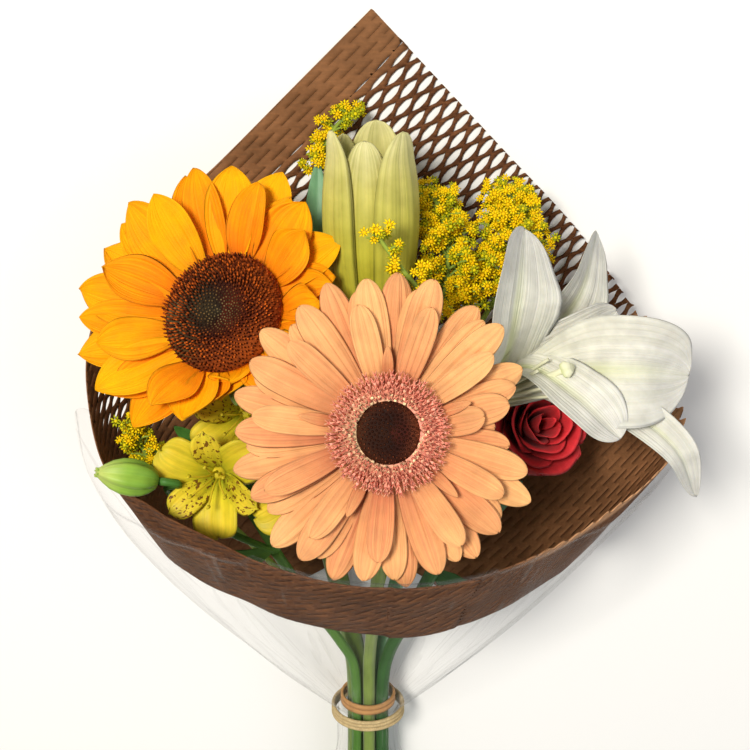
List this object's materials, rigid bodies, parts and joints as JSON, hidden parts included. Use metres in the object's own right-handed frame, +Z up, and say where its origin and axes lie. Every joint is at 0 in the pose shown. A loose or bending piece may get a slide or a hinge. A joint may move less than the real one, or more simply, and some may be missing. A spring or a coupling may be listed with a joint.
{
  "type": "wrapped flower bouquet",
  "caption": "Mixed hand-tied flower bouquet lying in a brown honeycomb paper wrap inside a clear film sleeve, with stems gathered and tied at the neck.",
  "frame": {"origin": "centre of the bouquet's bounding box on the surface that it lies on", "axes": "+Z up from the surface, +Y along the bouquet from the cut stem ends to the peak of the paper, +X to the right when the blooms are looked at from above"},
  "size_m": [0.2449, 0.4792, 0.1475],
  "materials": {
    "alstroemeria_bud": "satin green",
    "alstroemeria_flower": "satin yellow-green",
    "alstroemeria_stem": "satin green",
    "clear_film": "clear glossy film",
    "gerbera_disc": "matte, dark maroon",
    "gerbera_fringe": "matte, pink florets",
    "gerbera_petals": "soft satin, pale apricot",
    "gerbera_stem": "matte green",
    "kraft_paper": "matte brown kraft paper",
    "lily_bloom": "waxy white",
    "lily_bud": "waxy pale green",
    "lily_stem": "satin green",
    "tie_cord": "matte natural cord",
    "rose_petals": "velvety dark red",
    "rose_stem": "satin green",
    "solidago_florets": "matte bright yellow",
    "solidago_stem": "matte green",
    "elastic_band": "matte tan rubber",
    "sunflower_disc": "matte, dark brown florets",
    "sunflower_petals": "soft satin, warm yellow-orange",
    "sunflower_stem": "matte, hairy green"
  },
  "bodies": {
    "root": {"alstroemeria_bud": "alstroemeria_bud", "alstroemeria_flower_1": "alstroemeria_flower", "alstroemeria_flower_2": "alstroemeria_flower", "alstroemeria_flower_3": "alstroemeria_flower", "alstroemeria_stem": "alstroemeria_stem", "film_sleeve": "clear_film", "gerbera_disc": "gerbera_disc", "gerbera_fringe": "gerbera_fringe", "gerbera_petals": "gerbera_petals", "gerbera_stem": "gerbera_stem", "kraft_wrap": "kraft_paper", "lily_bloom": "lily_bloom", "lily_bud_tepals": "lily_bud", "lily_stem": "lily_stem", "neck_tie": "tie_cord", "rose_petals": "rose_petals", "rose_stem": "rose_stem", "solidago_spray_1": "solidago_florets", "solidago_spray_2": "solidago_florets", "solidago_spray_3": "solidago_florets", "solidago_spray_4": "solidago_florets", "solidago_spray_5": "solidago_florets", "solidago_stem_left": "solidago_stem", "solidago_stem_right": "solidago_stem", "stem_band": "elastic_band", "sunflower_disc": "sunflower_disc", "sunflower_petals": "sunflower_petals", "sunflower_stem": "sunflower_stem"}
  },
  "joints": []
}
